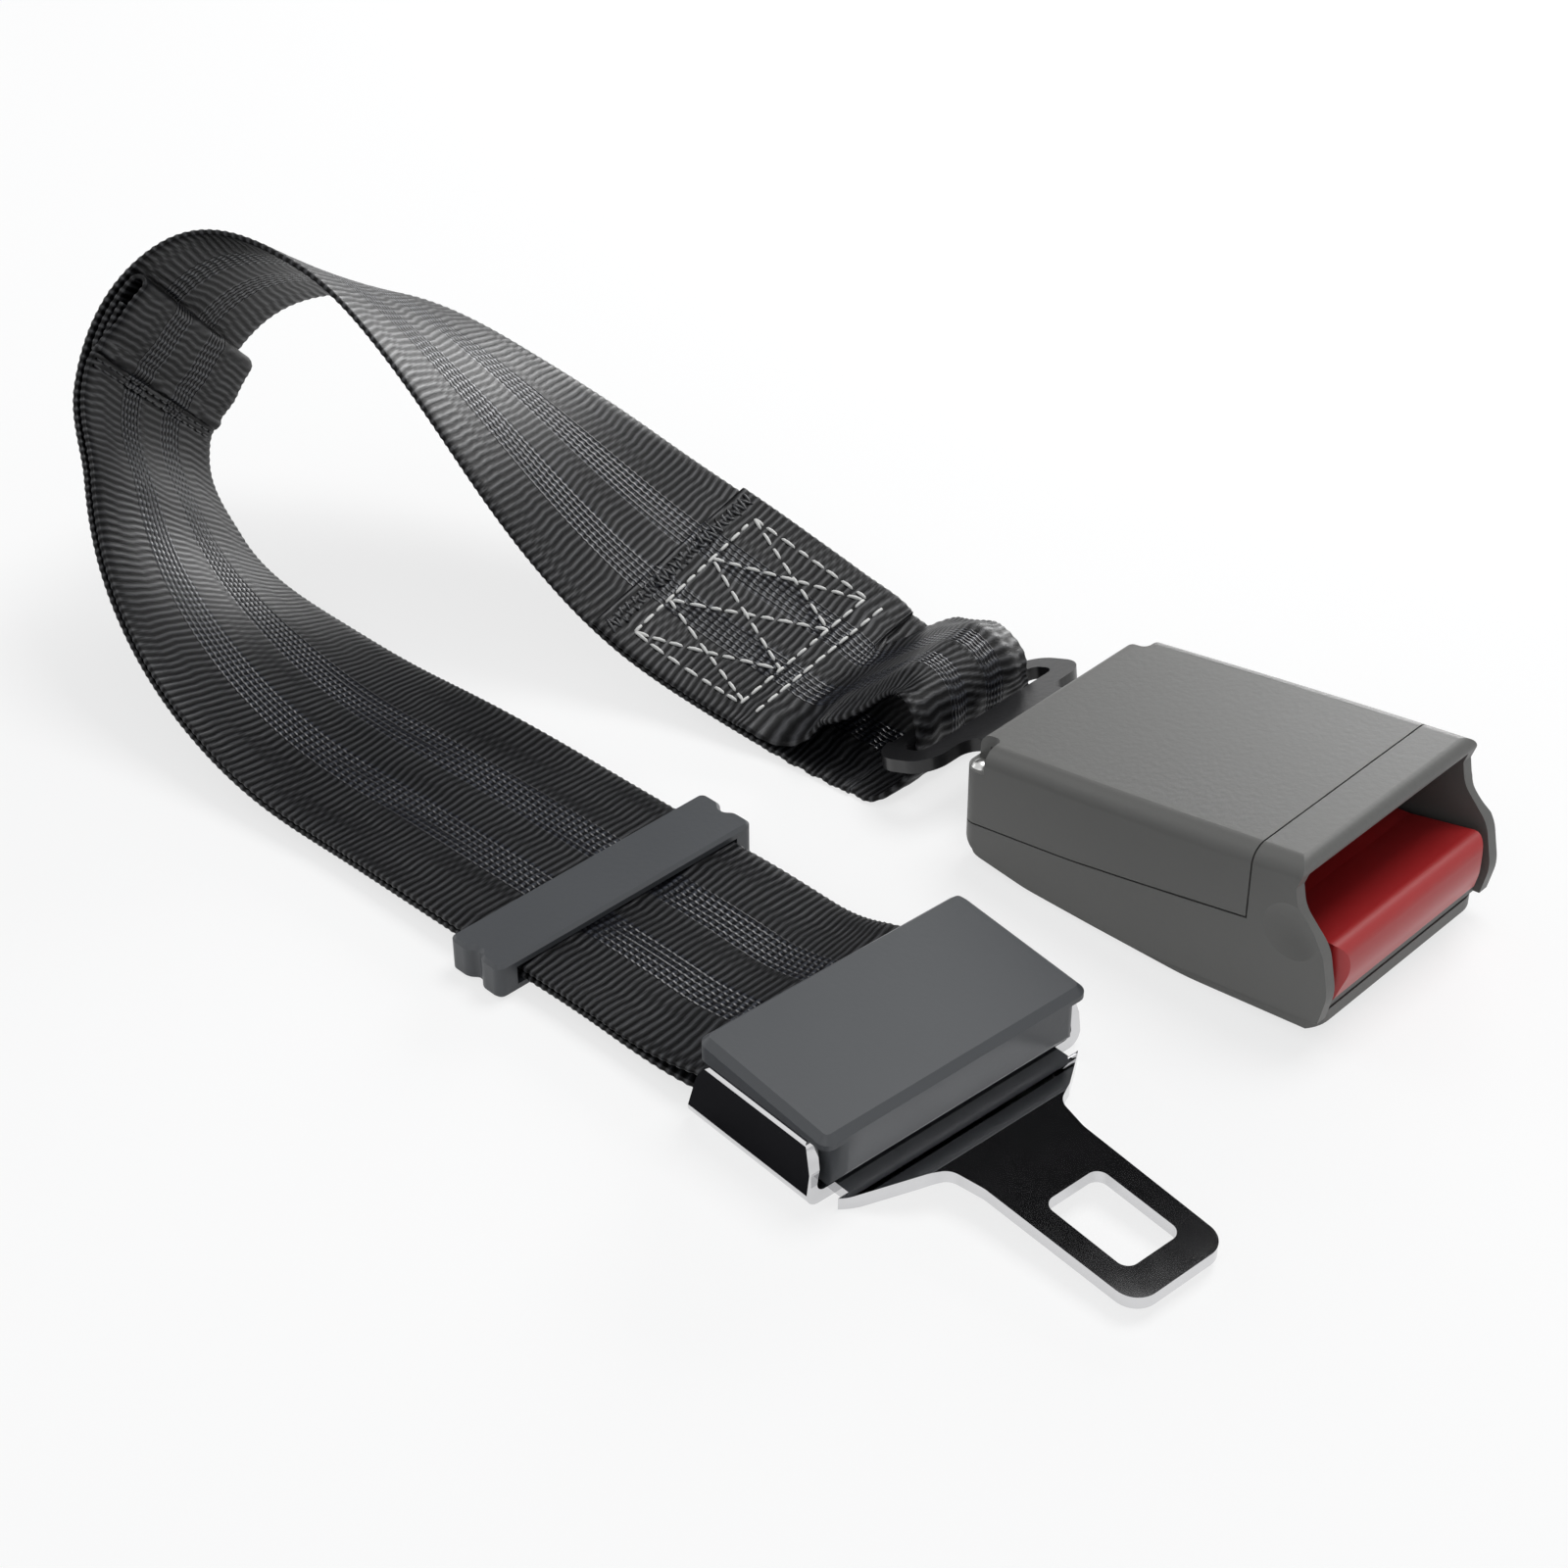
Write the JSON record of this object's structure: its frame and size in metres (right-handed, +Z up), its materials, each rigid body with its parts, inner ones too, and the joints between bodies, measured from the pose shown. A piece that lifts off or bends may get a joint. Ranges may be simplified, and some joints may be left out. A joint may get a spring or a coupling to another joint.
{
  "type": "seat belt extender",
  "caption": "Short seat belt extender: adjustable webbing curled in a loop between a chromed tongue and a push button buckle, with a webbing keeper.",
  "frame": {"origin": "centre of the object's footprint on the table it lies on", "axes": "+X towards the tongue's blade and the buckle's mouth, +Y from the tongue's limb of the webbing towards the buckle's, +Z up"},
  "size_m": [0.2798, 0.1412, 0.0723],
  "materials": {
    "webbing": "ribbed weave",
    "slate_plastic": "matte",
    "grey_plastic": "fine texture",
    "red_plastic": "satin",
    "chrome": "polished",
    "black_steel": "satin",
    "steel": "zinc plated",
    "spring_steel": "drawn wire"
  },
  "bodies": {
    "webbing": {"webbing_main": "webbing", "webbing_free_end": "webbing", "webbing_eye": "webbing", "adjuster_bar": "steel", "adjuster_cover": "slate_plastic"},
    "keeper": {"webbing_keeper": "slate_plastic"},
    "tongue": {"tongue_plate": "chrome"},
    "buckle": {"anchor_plate": "black_steel", "frame_rivets": "steel", "buckle_frame": "steel", "latch_pin": "steel", "buckle_lid": "grey_plastic", "corner_rivets": "steel", "buckle_shell": "grey_plastic", "buckle_base": "grey_plastic", "button_springs": "spring_steel", "latch_spring": "spring_steel", "ejector_springs": "spring_steel"},
    "button": {"release_button": "red_plastic"},
    "latch": {"latch_plate": "steel"},
    "ejector": {"ejector": "grey_plastic"}
  },
  "joints": [
    {"name": "keeper_slide", "type": "slide", "parent": "webbing", "child": "keeper", "axis": [0.9962, 0.0872, 0], "range_m": [-0.034, 0.02]},
    {"name": "tongue_slide", "type": "slide", "parent": "webbing", "child": "tongue", "axis": [1, 0, 0], "range_m": [-0.002, 0.002]},
    {"name": "buckle_pivot", "type": "hinge", "parent": "webbing", "child": "buckle", "pos_m": [0.02004, 0.03738, 0.00824], "axis": [0.0941, -0.9956, 0], "range_deg": [-5, 25]},
    {"name": "button_press", "type": "slide", "parent": "buckle", "child": "button", "axis": [-0.9956, -0.0941, 0], "range_m": [0, 0.005], "stiffness_N_per_m": 800, "springref_m": -0.004, "deforming": ["button_springs"]},
    {"name": "latch_pivot", "type": "hinge", "parent": "buckle", "child": "latch", "pos_m": [0.06734, 0.04185, 0.01282], "axis": [-0.0941, 0.9956, 0], "range_deg": [0, 10], "deforming": ["latch_spring"]},
    {"name": "ejector_slide", "type": "slide", "parent": "buckle", "child": "ejector", "axis": [-0.9868, -0.0933, -0.1323], "range_m": [0, 0.006], "stiffness_N_per_m": 300, "springref_m": -0.004, "deforming": ["ejector_springs"]}
  ],
  "couplings": [
    {"joint": "latch_pivot", "follows": "button_press", "rad_per_m": 34.907}
  ]
}
